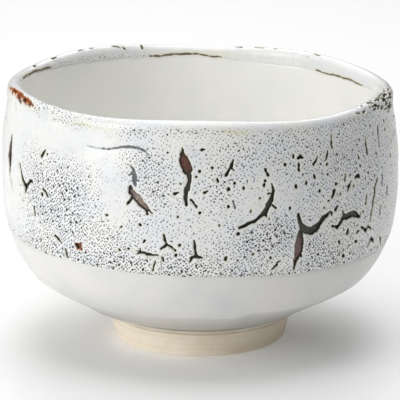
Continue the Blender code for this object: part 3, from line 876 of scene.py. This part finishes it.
def crawled_white():
    """Thick crawled glaze: cool white, pinholes that bare the slip, dark straw-edged cracks."""
    finish = Finish("crawled_white", 0.22, COOL_WHITE, IOR=1.50)
    wall = finish.scaled(finish.map("Unrolled"), (UNROLLED_UNIT,) * 3)
    place_at = finish.place()
    edge = finish.field("edge")
    scar = finish.field("scar")
    density = finish.field("pinholes")
    worn = finish.field("worn")
    straw = finish.field("straw")
    slow = finish.noise(place_at, 90, 3)
    tone = finish.mixed(slow.rise(.35, .65), COOL_WHITE, WARM_WHITE)
    milky = finish.noise(place_at, 420, 2)
    tone = finish.mixed(milky.rise(.45, .75) * .25, tone, paint(220, 223, 226))
    tone = finish.mixed(straw, tone, STRAW)
    jitter = finish.noise(place_at, 1500, 1)
    halo = edge.rise(.85, .1) * (.16 + .60 * finish.noise(place_at, 260, 1))
    tone = finish.mixed(halo, tone, STRAW)
    packed = density.rise(.66, .80)
    sparse, sparse_shade = dots(finish, wall, 33, 1.04, .28, .12, density, .34 + 1.2 * density, .06)
    close, close_shade = dots(finish, wall, 52, .86, .232, .06, density, .97, .055)
    faint = dots(finish, wall, 19, .84, .15, .05, density, .80, .06)[0]
    large = dots(finish, wall, 70, 2.3, .34, .16, density, density * .85 - .08, .08)[0]
    pit_color = finish.mixed(sparse_shade.rise(.35, 1.0), paint(46, 41, 36), paint(98, 92, 86))
    packed_color = finish.mixed(close_shade.rise(.3, 1.0), paint(36, 32, 27), paint(82, 76, 70))
    faintly = density.rise(.04, .4) * density.rise(.62, .42)
    tone = finish.mixed(faint * faintly * .5, tone, paint(108, 106, 104))
    tone = finish.mixed(sparse * (1 - packed) * (.5 + 1.0 * density).clamped(), tone, pit_color)
    tone = finish.mixed(close * packed, tone, packed_color)
    tone = finish.mixed(large, tone, paint(40, 36, 28))
    small = (sparse * (1 - packed)).most(close * packed)
    tone = finish.mixed((scar + .16 * (jitter - .5)).rise(.26, -.02) * .95, tone, SCAR_GREY)
    tone = finish.mixed(scar.rise(-.12, -.30) * .6, tone, paint(150, 156, 158))
    line = finish.field("line")
    tone = finish.mixed(line.rise(.55, .1) * .6, tone, STRAW)
    tone = finish.mixed((line + .2 * (jitter - .5)).rise(.20, -.04) * .95, tone, paint(98, 80, 46))
    cut = finish.mixed(finish.field("bared"), OLIVE_BLACK, paint(122, 96, 88))
    tone = finish.mixed((edge + .12 * (jitter - .5)).rise(.19, .02), tone, cut)
    rust = finish.mixed(finish.noise(place_at, 700, 2).rise(.46, .64), RUST_ORANGE, paint(92, 50, 28))
    rust = finish.mixed(finish.noise(place_at, 520, 1).rise(.60, .68), rust, paint(240, 222, 196))
    tone = finish.mixed(worn * (edge.rise(.55, .2)), tone, rust)
    finish.color(tone)
    finish.roughness(.21 + .25 * small + .3 * edge.rise(.3, 0) + .06 * slow)
    skin = finish.noise(place_at, 1100, 2)
    finish.relief(.35 * skin + 1.0 - .9 * small.most(large), 0.00010)
    return finish.material


def iron_brown_slip():
    """Iron slip seen in the cracks: olive to red-brown in their middle, near black at their edge."""
    finish = Finish("iron_brown_slip", 0.42, IRON_BROWN)
    place_at = finish.place()
    edge = finish.field("edge")
    worn = finish.field("worn")
    ruddy = finish.field("ruddy")
    milky = finish.field("milky")
    mottle = finish.noise(place_at, 900, 3)
    red = finish.mixed(mottle.rise(.35, .7), IRON_BROWN, paint(118, 82, 72))
    olive = finish.mixed(mottle.rise(.4, .65), OLIVE_GREY, paint(76, 73, 63))
    skinned = finish.mixed(mottle.rise(.35, .65), paint(140, 120, 112), paint(182, 164, 156))
    rusted = finish.mixed(mottle.rise(.38, .6), paint(132, 60, 28), RUST_ORANGE)
    floor = finish.mixed(ruddy, olive, red)
    floor = finish.mixed(milky, floor, skinned)
    floor = finish.mixed(worn, floor, rusted)
    tone = finish.mixed((edge + .20 * (mottle - .5)).rise(-.40, -.08), floor, IRON_DARK)
    finish.color(tone)
    finish.roughness(.34 + .25 * mottle)
    finish.relief(mottle, 0.00008)
    return finish.material


def satin_white():
    """Satin white of the belly: smooth, a little warm, with faint turning marks under it, and painted shade
    low down and round its right side.
    """
    finish = Finish("satin_white", 0.30, WARM_WHITE, IOR=1.5)
    place_at = finish.place()
    cloud = finish.noise(place_at, 60, 3)
    streak = finish.noise(finish.scaled(place_at, (12, 12, 260)), 1.0, 3)
    speck = finish.noise(place_at, 1600, 1)
    tone = finish.mixed(cloud.rise(.35, .7), paint(232, 230, 226), paint(219, 221, 220))
    tone = finish.mixed(streak.rise(.5, .8) * .4, tone, paint(220, 219, 214))
    # Painted shade: the belly turns grey below the trimmed ridge, towards the foot, and round its right
    # side.
    tone = finish.mixed(finish.field("thin"), tone, PAINTED_SHADE_GREY)
    tone = finish.mixed(speck.rise(.76, .82) * .5, tone, paint(150, 144, 132))
    finish.color(tone)
    finish.roughness(.26 + .10 * cloud)
    finish.relief(.5 * cloud + .5 * streak, 0.00010)
    return finish.material


def liner_white():
    """Smooth glossy white of the inside, pooling a little thicker on the floor."""
    finish = Finish("liner_white", 0.18, WARM_WHITE, IOR=1.52)
    place_at = finish.place()
    cloud = finish.noise(place_at, 40, 2)
    skin = finish.noise(place_at, 500, 2)
    tone = finish.mixed(cloud.rise(.35, .7), paint(251, 250, 246), paint(246, 246, 243))
    speck = finish.noise(place_at, 1400, 1)
    tone = finish.mixed(speck.rise(.80, .84) * .4, tone, paint(170, 164, 150))
    finish.color(tone)
    finish.roughness(.16 + .06 * cloud)
    finish.relief(skin, 0.00004)
    return finish.material


def bare_clay(name, light, dark):
    """Unglazed fired clay: fine grain, turning scratches, a few darker grits, and a painted shadow line
    where the piece has a seam field.
    """
    finish = Finish(name, 0.85, light)
    place_at = finish.place()
    cloud = finish.noise(place_at, 110, 3)
    turning = finish.noise(finish.scaled(place_at, (30, 30, 2600)), 1.0, 3)
    grain = finish.noise(place_at, 2400, 2)
    tone = finish.mixed(cloud.rise(.3, .7) * .6, light, dark)
    tone = finish.mixed(turning.rise(.42, .68) * .6, tone, dark)
    tone = finish.mixed(grain.rise(.68, .76) * .25, tone, paint(170, 142, 112))
    # Painted shadow: a brown line on the foot just under the seam bead, where the bead's shade falls.
    tone = finish.mixed(finish.field("seam") * .6, tone, paint(140, 116, 84))
    finish.color(tone)
    finish.roughness(.78 + .15 * grain)
    finish.relief(.7 * turning + .3 * grain, 0.00014)
    return finish.material


# ---------------------------------------------------------------- where the pinholes crowd
# Crowded and clear patches of the front: (angle, height, reach in degrees, reach in mm, strength).
CROWDS = [
    (-50, 55, 11, 10, .75), (-38, 60, 8, 7, .6), (-38, 47, 10, 7, .65), (-24, 44, 7, 5, .5),
    (-15, 68, 6, 4, .5), (-12, 60, 5, 6, .45), (-16, 51, 4, 3, .35), (-28, 38, 14, 3, .5),
    (17, 45, 9, 6, .9), (23, 50, 5, 4, .55), (33, 43, 5, 4, .6), (8, 64, 7, 8, .4), (20, 72, 12, 4, .25),
    (33, 66, 8, 6, .3), (45, 64, 9, 9, .3), (-50, 40, 10, 4, .4), (47, 45, 6, 5, .45), (58, 58, 8, 10, .3),
    (-4, 39, 12, 4, .65), (40, 38, 8, 3, .5), (-25, 58, 4, 7, -.35), (-36, 72, 14, 4.5, -.6),
    (-68, 62, 6, 16, -.4), (14, 56, 7, 4, -.2), (-22, 52, 3, 4, -.2), (24, 56, 6, 5, -.15),
    (-58, 72, 12, 5, -.5), (0, 76, 14, 1.5, -.1),
]
# Yellow-green thin places: (angle, distance from the crest, reach in degrees, reach in mm, strength).
STRAW_PATCHES = [
    (-35.5, -3.7, 4, .8, .75), (-29, -4.4, 4, .7, .35), (10, -4.2, 4, .7, .75), (-75, -5.5, 4, 1.2, .3),
    (-104, 2.2, 9, 1.0, .45), (0, -4.2, 20, .6, .2), (30, -4.4, 8, .7, .15), (178, 3.4, 12, .9, .35),
    (122, 6.0, 12, .9, .35), (-58, -3.4, 6, 1.2, .35),
]
# Stretches of the coat's inside edge where the slip shows as a thin brown line: (middle angle, half width).
INSIDE_LINES = [(-175, 12.5), (-108, 12.0), (123.5, 13.5), (-40, 9.0), (35, 11.0)]
# Cracks whose floor stayed red-brown: (angle, height, reach in degrees, reach in mm, strength).
RUDDY = [(-4.2, 68.5, 3, 3.2, 1.0), (28.6, 41, 3, 4, .9), (-16.5, 57, 4, 4, .7), (-70, 61, 5, 7, .9),
         (-36, 41, 3, 3, 1.0)]
# Cracks whose floor is milky with a skin of glaze left on it, in the same terms.
MILKY = [(-16.8, 57, 4, 4, 1.0), (28.6, 42, 3, 3.4, .35), (-70, 61, 5, 7, .3)]

# Cracks whose torn edge is red-brown as well, in the same terms, and a rusty star low on the left.
BARED = [(-70, 61, 3, 4.5, 1.0)]
RUSTY_STAR = [(-36, 41.1, 2.5, 2, 1)]
# Speckled stretches of the lip, and of the coat's inside edge: (angle, mm past the crest or from the
# edge, reach in degrees, reach in mm, strength).
SPECKLED_LIP = [(77, -2.4, 11, 3.6, 1.1), (62, .8, 10, 2.4, .9), (-50, -.3, 18, 2.4, .9)]
SPECKLED_EDGE = [(-146, .6, 24, .7, .6)]
# The lip's rusty worn place on the left: its angle, and its distance from the crest.
WORN_ANGLE, WORN_HALF, WORN_DROP, WORN_TALL = -69, 13, 2.1, 1.5


def turned_from(angle, middle):
    """Degrees between two directions round the bowl."""
    return (angle - middle + 180) % 360 - 180


def hill(angle, along, spots):
    """Sum of soft hills, each (angle, place, reach in degrees, reach, strength)."""
    total = np.zeros_like(angle)
    for middle, level, wide, tall, strength in spots:
        total += strength * np.exp(-(turned_from(angle, middle) / wide) ** 2 - ((along - level) / tall) ** 2)
    return total


def glaze_fields(u, s, crack_field, scar_field, cloud_field, fleck_field):
    """What the crawled glaze's finish needs at each point of the sheet."""
    angle = np.degrees(u / BAND_AROUND)
    past_crest = s - CREST
    to_top = top_edge(u) - s
    above_dip = s - bottom_edge(u)
    height = np.interp(s, LENGTH, LINE[:, 1])
    edge = look_up(crack_field, u, s)
    cloud = look_up(cloud_field, u, s)
    fleck = look_up(fleck_field, u, s)
    front = np.clip((100 - np.abs(angle)) / 25, 0, 1)
    crowd_front = .40 + .12 * np.clip((angle - 22) / 12, 0, 1) + .12 * cloud
    crowd_front += .8 * hill(angle, height, CROWDS)
    crowd = crowd_front * front + (.46 + .50 * cloud) * (1 - front)
    crowd += .55 * np.exp(-(above_dip / 4.0) ** 2)
    crowd = np.where(past_crest > -3.4, .10 + .06 * cloud, np.clip(crowd, .03, 1))
    crowd += .9 * (hill(angle, past_crest, SPECKLED_LIP) + hill(angle, to_top, SPECKLED_EDGE))
    crowd += np.exp(-((past_crest + 4.6) / 1.1) ** 2) * np.clip(.18 + .5 * cloud, 0, 1)
    crowd = np.clip(crowd, 0, 1) * np.clip((edge - .2) / .8, .04, 1)
    line = np.full_like(u, FAR)
    for middle, half in INSIDE_LINES:
        away = np.clip((np.abs(turned_from(angle, middle)) - half) / 3, 0, 1)
        line = np.minimum(line, np.abs(to_top - .42 + .2 * cloud) - .26 + 3 * away + .22 * fleck)
    worn = np.exp(-(turned_from(angle, WORN_ANGLE) / WORN_HALF) ** 2)
    worn *= np.exp(-((past_crest + WORN_DROP) / WORN_TALL) ** 4)
    straw = hill(angle, past_crest, STRAW_PATCHES) + .15 * np.exp(-above_dip ** 2)
    fields = {
        "edge": edge,
        "scar": look_up(scar_field, u, s),
        "pinholes": crowd,
        "worn": np.maximum(1.3 * worn, .9 * hill(angle, height, RUSTY_STAR)),
        "straw": straw,
        "bared": hill(angle, height, BARED),
        "milky": hill(angle, height, MILKY),
        "line": line,
        "ruddy": hill(angle, height, RUDDY) + .8 * (1 - front) * (cloud > -.1),
    }
    for share in ("worn", "straw", "bared", "milky", "ruddy"):
        fields[share] = np.clip(fields[share], 0, 1)
    return fields


def profile(table, at):
    """Value at a place, read from a table of (place, value)."""
    places, values = zip(*table)
    return np.interp(at, places, values)


# Sections across a torn edge and a healed crack: (distance from the edge, depth), in mm.
TORN_EDGE = [(0.0, GLAZE_THICKNESS), (.05, .46), (.13, .17), (.26, .0), (.45, -.07), (.8, .0)]
SCAR_VALLEY = [(-.3, .26), (-.1, .20), (.12, .06), (.35, .0)]
SLIP_OUTLINES = [(.25, .6), (-.14, .35), (-.5, .5)]      # (distance from the edge, spacing)
SLIP_INSET = 0.3


def build_crawled_coats(glaze, slip):
    """The crawled glaze, torn open at its cracks, and the iron slip that they bare."""
    cracks = distance_field(crawled_runs(), 1.0)
    scars = distance_field([unrolled(run) for run in SCARS], .6)
    cloud = soft_noise(9, 9.0) * .7 + soft_noise(10, 4.0) * .3
    flecks = soft_noise(11, 1.3)
    outlines = []
    for level, _ in TORN_EDGE:
        outlines += contours(cracks, level, .30 if level < .2 else .5)
    apart = np.where(cracks > 1.0, scars, FAR)
    for level, _ in SCAR_VALLEY[1:]:
        outlines += contours(apart, level, .45)
    away = np.minimum(cracks, scars + .5)
    flat, tris = sheet_on_wall(outlines, bottom_edge, top_edge, 1.15, .55, .95, away)
    middle = flat[tris].mean(1)
    tris = tris[look_up(cracks, middle[:, 0], middle[:, 1]) > 0]
    u, s = flat[:, 0], flat[:, 1]
    fields = glaze_fields(u, s, cracks, scars, cloud, flecks)
    depth = profile(TORN_EDGE, fields["edge"]) + profile(SCAR_VALLEY, fields["scar"])
    depth += profile(EDGE_ROLL, np.minimum(s - bottom_edge(u), top_edge(u) - s))
    piece = coat_from_sheet("crawled_glaze_coat", flat, tris, depth, glaze, fields)
    finish_piece(piece, "crawled_glaze")

    outlines = []
    for level, spacing in SLIP_OUTLINES:
        outlines += contours(cracks, level, spacing)
    flat, tris = sheet_on_wall(outlines, lambda x: bottom_edge(x) + SLIP_INSET,
                               lambda x: top_edge(x) - SLIP_INSET, 2.3, .8, .6, cracks)
    fields = glaze_fields(flat[:, 0], flat[:, 1], cracks, scars, cloud, flecks)
    fields = {name: fields[name] for name in ("edge", "worn", "ruddy", "milky")}
    piece = coat_from_sheet("iron_slip_coat", flat, tris, np.full(len(flat), SLIP_DEPTH), slip, fields)
    finish_piece(piece, "iron_slip")


def finish_piece(piece, node):
    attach(piece, "root")
    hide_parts(node)


# The lower belly was trimmed straight: (angle, section length where the cut starts, where its ridge is).
TRIMMED_CUTS = [
    (-180, 6, 20), (-120, 8, 24), (-88, 9, 28.5), (-60, 8, 27), (-35, 5, 22.5), (0, 4, 23.7), (12, 4, 22.6),
    (18, 4, 25.6), (30, 4, 25), (60, 4, 26.5), (90, 4, 26.5), (130, 6, 23), (180, 6, 20),
]
TRIMMED_ANGLES, TRIMMED_STARTS, TRIMMED_RIDGES = zip(*TRIMMED_CUTS)
DEEPEST_CUT = 1.35


def trimmed(theta, s):
    """Depth of the trimming tool's straight cut, the distance of a chord from the curved belly, in mm."""
    start = np.interp(np.degrees(theta), TRIMMED_ANGLES, TRIMMED_STARTS)
    ridge = np.interp(np.degrees(theta), TRIMMED_ANGLES, TRIMMED_RIDGES)
    slope = np.unwrap(np.arctan2(ALONG[:, 1], ALONG[:, 0]))
    bend = np.interp(ridge, LENGTH, slope) - np.interp(start, LENGTH, slope)
    deepest = np.minimum((ridge - start) * bend / 8, DEEPEST_CUT)
    t = np.clip((s - start) / (ridge - start), 0, 1)
    return 4 * deepest * t * (1 - t)


def step_down(past, start, run):
    """0 before start and 1 a run later, straight between; the coats tuck under the crawled one by it."""
    return np.clip((past - start) / run, 0, 1)


# The belly glaze rolls up at its start: (section length, depth).
BELLY_ROLL = [(.25, .80), (.45, .50), (.8, .30), (1.3, .18), (2.0, .15)]
BELLY_TOP_HEIGHT = 38
# The belly's right side, round which it is painted in shade, and how far that shade reaches.
SHADED_SIDE, SHADED_SIDE_REACH = 74, 42          # degrees


def build_belly(material):
    """Satin glaze from the seam bead to a little way under the crawled band."""
    roll_end = BELLY_ROLL[-1][0]
    lengths = np.concatenate([[s for s, _ in BELLY_ROLL[:-1]],
                              np.arange(roll_end, float(length_at(BELLY_TOP_HEIGHT)) + 1.5, .6)])

    def depth(theta, s):
        past = s - bottom_edge(theta * BAND_AROUND)
        under = step_down(past, -.35, .6) + 2.0 * step_down(past, .35, .6)
        settling = BELLY_DEPTH - .10 * np.exp(-(s - roll_end) / 3)
        settled = np.where(s < roll_end, profile(BELLY_ROLL, s), settling)
        return settled + .28 * under + trimmed(theta, s)

    # Painted shade: the share of grey on the belly, growing below the trimmed ridge and round the right
    # side.
    def thin(theta, s):
        angle = np.degrees(theta)
        past_ridge = np.interp(angle, TRIMMED_ANGLES, TRIMMED_RIDGES) - s
        below = .26 * np.clip(past_ridge / .9 + .5, 0, 1) + .74 * np.clip(past_ridge / 20, 0, 1)
        side = .34 * np.exp(-(turned_from(angle, SHADED_SIDE) / SHADED_SIDE_REACH) ** 2)
        return np.clip(below + side, 0, 1)

    piece = turned("belly_glaze_coat", lengths, depth, 300, material, {"thin": thin})
    finish_piece(piece, "belly_glaze")


LINER_DEPTH = 0.14
POOL_DEEP, POOL_RADIUS = 0.35, 11
THROWN_SPIRAL = 0.07
LINER_START = CREST + 1.6


def build_liner(material):
    """Glossy liner from just under the crawled coat's inner edge down to the floor's centre."""
    start = LINER_START
    lengths = np.concatenate([np.arange(start, start + 7, .4), np.arange(start + 7, TOTAL - 1, 1.2),
                              [TOTAL - .6, TOTAL]])

    def depth(theta, s):
        past = top_edge(theta * BAND_AROUND) - s
        under = step_down(past, -.35, .6) + 1.6 * step_down(past, .45, .7)
        from_axis = TOTAL - s
        pool = POOL_DEEP * np.exp(-(from_axis / POOL_RADIUS) ** 4)
        spiral = THROWN_SPIRAL * np.sin(from_axis / .95 + theta) * np.exp(-((from_axis - 20) / 16) ** 2)
        return LINER_DEPTH + .35 * under + pool + spiral * np.clip(from_axis / 3, 0, 1)

    finish_piece(turned("liner_glaze_coat", lengths, depth, 288, material), "liner_glaze")


SEAM_LINE = BEAD_LOW - .30
FOOT_EASE = 0.7              # rounding of the resting edge
FOOT_NICKS, FOOT_CHIPS = 60, 14
FRONT_DENT = (math.radians(-48), 5.0, .4, .35)


def build_foot(material):
    """Foot ring with turning lines outside, a worn resting edge and small nicks."""
    rng = np.random.default_rng(SEED + 1)
    columns = 300
    theta = angles_round(columns)
    inner = FOOT_BOTTOM_RADIUS - FOOT_RING_WIDTH
    top = BEAD_LOW + .25
    draw = rng.uniform
    # Dents of the clay: (angle, height, width, depth).
    dents = [(draw(-math.pi, math.pi), draw(.5, 6.5), draw(.4, 1.2), draw(.08, .28))
             for _ in range(FOOT_NICKS)]
    dents.append(FRONT_DENT)
    dents += [(draw(-math.pi, math.pi), 0.2, draw(.6, 1.5), draw(.15, .35)) for _ in range(FOOT_CHIPS)]
    waver = .05 * np.sin(3 * theta + .4) + .04 * np.sin(8 * theta + 2)

    def dented(radius, z):
        total = np.zeros(columns)
        for angle, height, wide, deep in dents:
            off = np.angle(np.exp(1j * (theta - angle))) * radius
            total += deep * np.exp(-(off / wide) ** 2 - ((z - height) / (wide * .6)) ** 2)
        return total

    section = []
    heights = np.concatenate([[.0, .08, .22, .45], np.arange(FOOT_EASE, top, .2), [top]])
    groove = np.convolve(rng.normal(0, 1, len(heights) + 4), [.25, .5, .25], "same")[2:-2]
    for k, z in enumerate(heights):
        rounding = FOOT_EASE - math.sqrt(max(FOOT_EASE ** 2 - (FOOT_EASE - min(z, FOOT_EASE)) ** 2, 0))
        r = FOOT_BOTTOM_RADIUS + (FOOT_TOP_RADIUS - FOOT_BOTTOM_RADIUS) * z / FOOT_HEIGHT - rounding
        line = .05 * groove[k] if z > .5 else 0
        line -= .30 * math.exp(-((z - SEAM_LINE) / .22) ** 2)
        section.append((r + line + waver - dented(r, z), z))
    section += [(FOOT_TOP_RADIUS - 2.5, top), (inner - 1.0, top)]
    for z in (6.4, 5.2, 4.0, 2.8, 1.6, FOOT_EASE):
        section.append((inner - 1.0 * z / FOOT_HEIGHT + .05 * rng.normal() + waver, z))
    section += [(inner + .12 + waver, .22), (inner + .35 + waver, .05), (inner + FOOT_EASE + waver, .0),
                (inner + 2.6, .03), (inner + 4.2, .02)]
    rows = [ring(theta, radius, float(z)) for radius, z in section]
    piece = turned_grid("foot_ring_turned", rows, material, closed_rows=True)
    level = np.repeat([z for _, z in section], columns)
    # Painted shadow under the seam bead, as a share of brown on the foot's clay.
    set_field(piece, "seam", np.exp(-((level - SEAM_LINE) / .20) ** 2))
    finish_piece(piece, "foot_ring")


def build_bead(material):
    """Seam bead of slip, its girth a little uneven, wiped round with a finger."""
    columns, sides = 300, 12
    theta = angles_round(columns)
    girth = .50 + .05 * np.sin(5 * theta) + .06 * np.sin(13 * theta + 1) + .04 * np.sin(29 * theta)
    half = 1.15 * girth
    middle_r, middle_z = FOOT_TOP_RADIUS + .18, (BEAD_LOW + BEAD_HIGH) / 2 + .02
    turns = [2 * math.pi * k / sides for k in range(sides)]
    rows = [ring(theta, middle_r + half * math.cos(turn), middle_z + half * math.sin(turn))
            for turn in turns]
    piece = turned_grid("luting_bead_wiped", rows, material, closed_rows=True)
    finish_piece(piece, "luting_bead")


SEAT_RISE, SEAT_INSET, SEAT_STEP = 0.3, 0.8, 1.3
BUTTON_TALL, BUTTON_RADIUS = 0.75, 2.2
SPIRAL_TALL, SPIRAL_PITCH = 0.11, 1.9
CLAY_UNDER_OUTSIDE, CLAY_UNDER_INSIDE = 1.75, 1.2


def build_clay(material):
    """The thrown clay body; only its underside inside the foot shows, with its trimming spiral."""
    columns = 180
    theta = angles_round(columns)
    seat = FOOT_HEIGHT + SEAT_RISE
    seat_radius = FOOT_TOP_RADIUS - SEAT_INSET
    rows = [ring(theta, 0.0, seat - .55)]
    for radius in np.arange(.7, 19.6, .6):
        button = -BUTTON_TALL * math.exp(-(radius / BUTTON_RADIUS) ** 2)
        spiral = SPIRAL_TALL * np.sin(radius * 2 * math.pi / SPIRAL_PITCH - theta) * min(radius / 3, 1)
        rows.append(ring(theta, radius, seat + .25 + button + spiral))
    for radius, z in ((20.4, seat), (seat_radius, seat), (seat_radius, seat + SEAT_STEP)):
        rows.append(ring(theta, radius, z))
    lengths = np.concatenate([np.arange(.5, CREST - 5, 3), np.arange(CREST - 5, CREST + 7, .8),
                              np.arange(CREST + 8, TOTAL - 1, 3), [TOTAL]])
    for s in lengths:
        under = CLAY_UNDER_OUTSIDE if s < CREST + 5.5 else CLAY_UNDER_INSIDE
        rows.append(place(theta, np.full(columns, s), np.full(columns, under)))
    piece = turned_grid("clay_body_thrown", rows, material)
    finish_piece(piece, "clay_body")


# ---------------------------------------------------------------- floor, light and camera
FLOOR_HALF = 6.0             # metres
FLOOR_GLOW = 0.12
AIR_GLOW = 0.05
LIGHTS_AIM = 0.045
COOL_LIGHT = (0.96, 0.985, 1.0)
# Soft round lights: (name, azimuth to the right of the camera's side, elevation, distance and size in
# metres, power, colour).
LIGHTS = [
    ("key_left", -55, 20, 1.1, 0.8, 6.4, (1, 1, 1)),
    ("rim_left", -125, 40, 1.1, 0.8, 0.8, (1, 1, 1)),
    ("top_wash", 0, 89, 1.1, 0.9, 6.6, (1, 1, 1)),
    ("front_fill", -8, 28, 1.2, 0.8, 0.8, COOL_LIGHT),
    ("back_wash", 180, 45, 1.1, 0.9, 5.2, (1, 1, 1)),
    ("inside_fill", 60, 68, 1.1, 0.8, 0.7, COOL_LIGHT),
]
CAMERA_DISTANCE = 0.850
CAMERA_HEIGHT = 0.265
CAMERA_PITCH = math.radians(14.68)
CAMERA_LENS = 255.9
SENSOR_WIDTH = 36.0


def build_floor():
    mesh = bpy.data.meshes.new("studio_floor")
    half = FLOOR_HALF
    corners = [(-half, -half, 0), (half, -half, 0), (half, half, 0), (-half, half, 0)]
    mesh.from_pydata(corners, [], [(0, 1, 2, 3)])
    floor = bpy.data.objects.new("studio_floor", mesh)
    bpy.context.scene.collection.objects.link(floor)
    finish = Finish("studio_white", 0.6, (0.88, 0.88, 0.88), Emission_Color=(1, 1, 1, 1),
                    Emission_Strength=FLOOR_GLOW)
    mesh.materials.append(finish.material)


def soft_box(name, azimuth, elevation, distance, size, power, color):
    """A round soft light aimed at the bowl."""
    light = bpy.data.lights.new(name, "AREA")
    light.shape = "DISK"
    light.size = size
    light.energy = power
    light.color = color
    lamp = bpy.data.objects.new(name, light)
    around, up = math.radians(azimuth), math.radians(elevation)
    bowl = Vector((0, 0, LIGHTS_AIM))
    toward = Vector((math.cos(up) * math.sin(around), -math.cos(up) * math.cos(around), math.sin(up)))
    lamp.location = bowl + distance * toward
    lamp.rotation_euler = (bowl - lamp.location).to_track_quat("-Z", "Y").to_euler()
    bpy.context.scene.collection.objects.link(lamp)


def build_camera():
    camera = bpy.data.cameras.new("studio_camera")
    camera.lens = CAMERA_LENS
    camera.sensor_width = SENSOR_WIDTH
    camera.clip_end = 30
    holder = bpy.data.objects.new("studio_camera", camera)
    holder.location = (0, -CAMERA_DISTANCE, CAMERA_HEIGHT)
    holder.rotation_euler = (math.pi / 2 - CAMERA_PITCH, 0, 0)
    bpy.context.scene.collection.objects.link(holder)
    bpy.context.scene.camera = holder


def build_studio():
    world = bpy.data.worlds.new("studio_air")
    world.use_nodes = True
    background = world.node_tree.nodes["Background"]
    background.inputs["Color"].default_value = (1.0, 1.0, 1.0, 1)
    background.inputs["Strength"].default_value = AIR_GLOW
    bpy.context.scene.world = world
    for light in LIGHTS:
        soft_box(*light)
    bpy.context.scene.view_settings.view_transform = "Standard"


def main():
    build_crawled_coats(crawled_white(), iron_brown_slip())
    build_belly(satin_white())
    build_liner(liner_white())
    build_foot(bare_clay("bare_foot_clay", paint(255, 246, 229), paint(243, 226, 198)))
    build_bead(bare_clay("luting_slip", paint(244, 238, 224), paint(226, 214, 190)))
    build_clay(bare_clay("stoneware_clay", paint(216, 196, 166), paint(186, 162, 130)))
    build_floor()
    build_camera()
    build_studio()


main()
